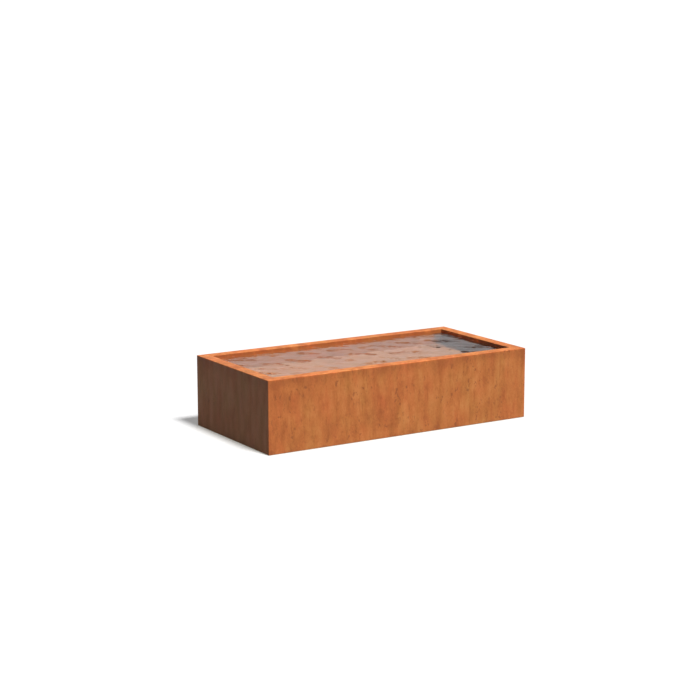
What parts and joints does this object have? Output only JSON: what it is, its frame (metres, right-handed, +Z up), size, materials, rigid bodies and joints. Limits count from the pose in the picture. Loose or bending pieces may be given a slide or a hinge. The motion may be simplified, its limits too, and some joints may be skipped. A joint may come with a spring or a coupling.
{
  "type": "water basin",
  "caption": "Free-standing rectangular water basin in weathering steel with a flat rim, hollow double wall, levelling feet and a pull-out overflow standpipe.",
  "frame": {"origin": "on the ground, under the middle of the basin", "axes": "+X along the basin's length, +Y across it to the back, +Z up"},
  "size_m": [2.5, 1.2, 0.6],
  "materials": {
    "weathering_steel": "matte",
    "frame_steel": "matte",
    "zinc_plated_steel": "satin",
    "rubber": "matte",
    "drain_plastic": "satin",
    "pipe_plastic": "satin",
    "water": "polished"
  },
  "bodies": {
    "basin": {"front_panel": "weathering_steel", "back_panel": "weathering_steel", "left_end_panel": "weathering_steel", "right_end_panel": "weathering_steel", "basin_front_wall": "weathering_steel", "basin_back_wall": "weathering_steel", "basin_left_wall": "weathering_steel", "basin_right_wall": "weathering_steel", "basin_floor": "weathering_steel", "front_rail": "frame_steel", "back_rail": "frame_steel", "left_rail": "frame_steel", "right_rail": "frame_steel", "cross_member_1": "frame_steel", "cross_member_2": "frame_steel", "cross_member_3": "frame_steel", "cross_member_4": "frame_steel", "cross_member_5": "frame_steel", "corner_post_1": "frame_steel", "corner_post_2": "frame_steel", "corner_post_3": "frame_steel", "corner_post_4": "frame_steel", "front_ribs": "frame_steel", "back_ribs": "frame_steel", "left_ribs": "frame_steel", "right_ribs": "frame_steel", "foot_bushes": "zinc_plated_steel", "foot_locknuts": "zinc_plated_steel", "drain_body": "drain_plastic", "drain_seal": "rubber", "drain_back_nut": "drain_plastic"},
    "foot_1": {"foot_1_pad": "zinc_plated_steel", "foot_1_sole": "rubber"},
    "foot_1_screw": {"foot_1_stem": "zinc_plated_steel"},
    "foot_2": {"foot_2_pad": "zinc_plated_steel", "foot_2_sole": "rubber"},
    "foot_2_screw": {"foot_2_stem": "zinc_plated_steel"},
    "foot_3": {"foot_3_pad": "zinc_plated_steel", "foot_3_sole": "rubber"},
    "foot_3_screw": {"foot_3_stem": "zinc_plated_steel"},
    "foot_4": {"foot_4_pad": "zinc_plated_steel", "foot_4_sole": "rubber"},
    "foot_4_screw": {"foot_4_stem": "zinc_plated_steel"},
    "foot_5": {"foot_5_pad": "zinc_plated_steel", "foot_5_sole": "rubber"},
    "foot_5_screw": {"foot_5_stem": "zinc_plated_steel"},
    "foot_6": {"foot_6_pad": "zinc_plated_steel", "foot_6_sole": "rubber"},
    "foot_6_screw": {"foot_6_stem": "zinc_plated_steel"},
    "standpipe": {"standpipe": "pipe_plastic", "standpipe_o_rings": "rubber"}
  },
  "joints": [
    {"name": "foot_1_height", "type": "slide", "parent": "basin", "child": "foot_1", "axis": [0, 0, -1], "range_m": [0, 0.024]},
    {"name": "foot_1_turn", "type": "hinge", "parent": "foot_1", "child": "foot_1_screw", "pos_m": [-1.1, -0.567, 0.02], "axis": [0, 0, -1], "range_deg": [0, 4320]},
    {"name": "foot_2_height", "type": "slide", "parent": "basin", "child": "foot_2", "axis": [0, 0, -1], "range_m": [0, 0.024]},
    {"name": "foot_2_turn", "type": "hinge", "parent": "foot_2", "child": "foot_2_screw", "pos_m": [0, -0.567, 0.02], "axis": [0, 0, -1], "range_deg": [0, 4320]},
    {"name": "foot_3_height", "type": "slide", "parent": "basin", "child": "foot_3", "axis": [0, 0, -1], "range_m": [0, 0.024]},
    {"name": "foot_3_turn", "type": "hinge", "parent": "foot_3", "child": "foot_3_screw", "pos_m": [1.1, -0.567, 0.02], "axis": [0, 0, -1], "range_deg": [0, 4320]},
    {"name": "foot_4_height", "type": "slide", "parent": "basin", "child": "foot_4", "axis": [0, 0, -1], "range_m": [0, 0.024]},
    {"name": "foot_4_turn", "type": "hinge", "parent": "foot_4", "child": "foot_4_screw", "pos_m": [-1.1, 0.567, 0.02], "axis": [0, 0, -1], "range_deg": [0, 4320]},
    {"name": "foot_5_height", "type": "slide", "parent": "basin", "child": "foot_5", "axis": [0, 0, -1], "range_m": [0, 0.024]},
    {"name": "foot_5_turn", "type": "hinge", "parent": "foot_5", "child": "foot_5_screw", "pos_m": [0, 0.567, 0.02], "axis": [0, 0, -1], "range_deg": [0, 4320]},
    {"name": "foot_6_height", "type": "slide", "parent": "basin", "child": "foot_6", "axis": [0, 0, -1], "range_m": [0, 0.024]},
    {"name": "foot_6_turn", "type": "hinge", "parent": "foot_6", "child": "foot_6_screw", "pos_m": [1.1, 0.567, 0.02], "axis": [0, 0, -1], "range_deg": [0, 4320]},
    {"name": "standpipe_lift", "type": "slide", "parent": "basin", "child": "standpipe", "axis": [0, 0, 1], "range_m": [0, 0.58]}
  ],
  "couplings": [
    {"joint": "foot_1_turn", "follows": "foot_1_height", "rad_per_m": 3141.6},
    {"joint": "foot_2_turn", "follows": "foot_2_height", "rad_per_m": 3141.6},
    {"joint": "foot_3_turn", "follows": "foot_3_height", "rad_per_m": 3141.6},
    {"joint": "foot_4_turn", "follows": "foot_4_height", "rad_per_m": 3141.6},
    {"joint": "foot_5_turn", "follows": "foot_5_height", "rad_per_m": 3141.6},
    {"joint": "foot_6_turn", "follows": "foot_6_height", "rad_per_m": 3141.6}
  ]
}
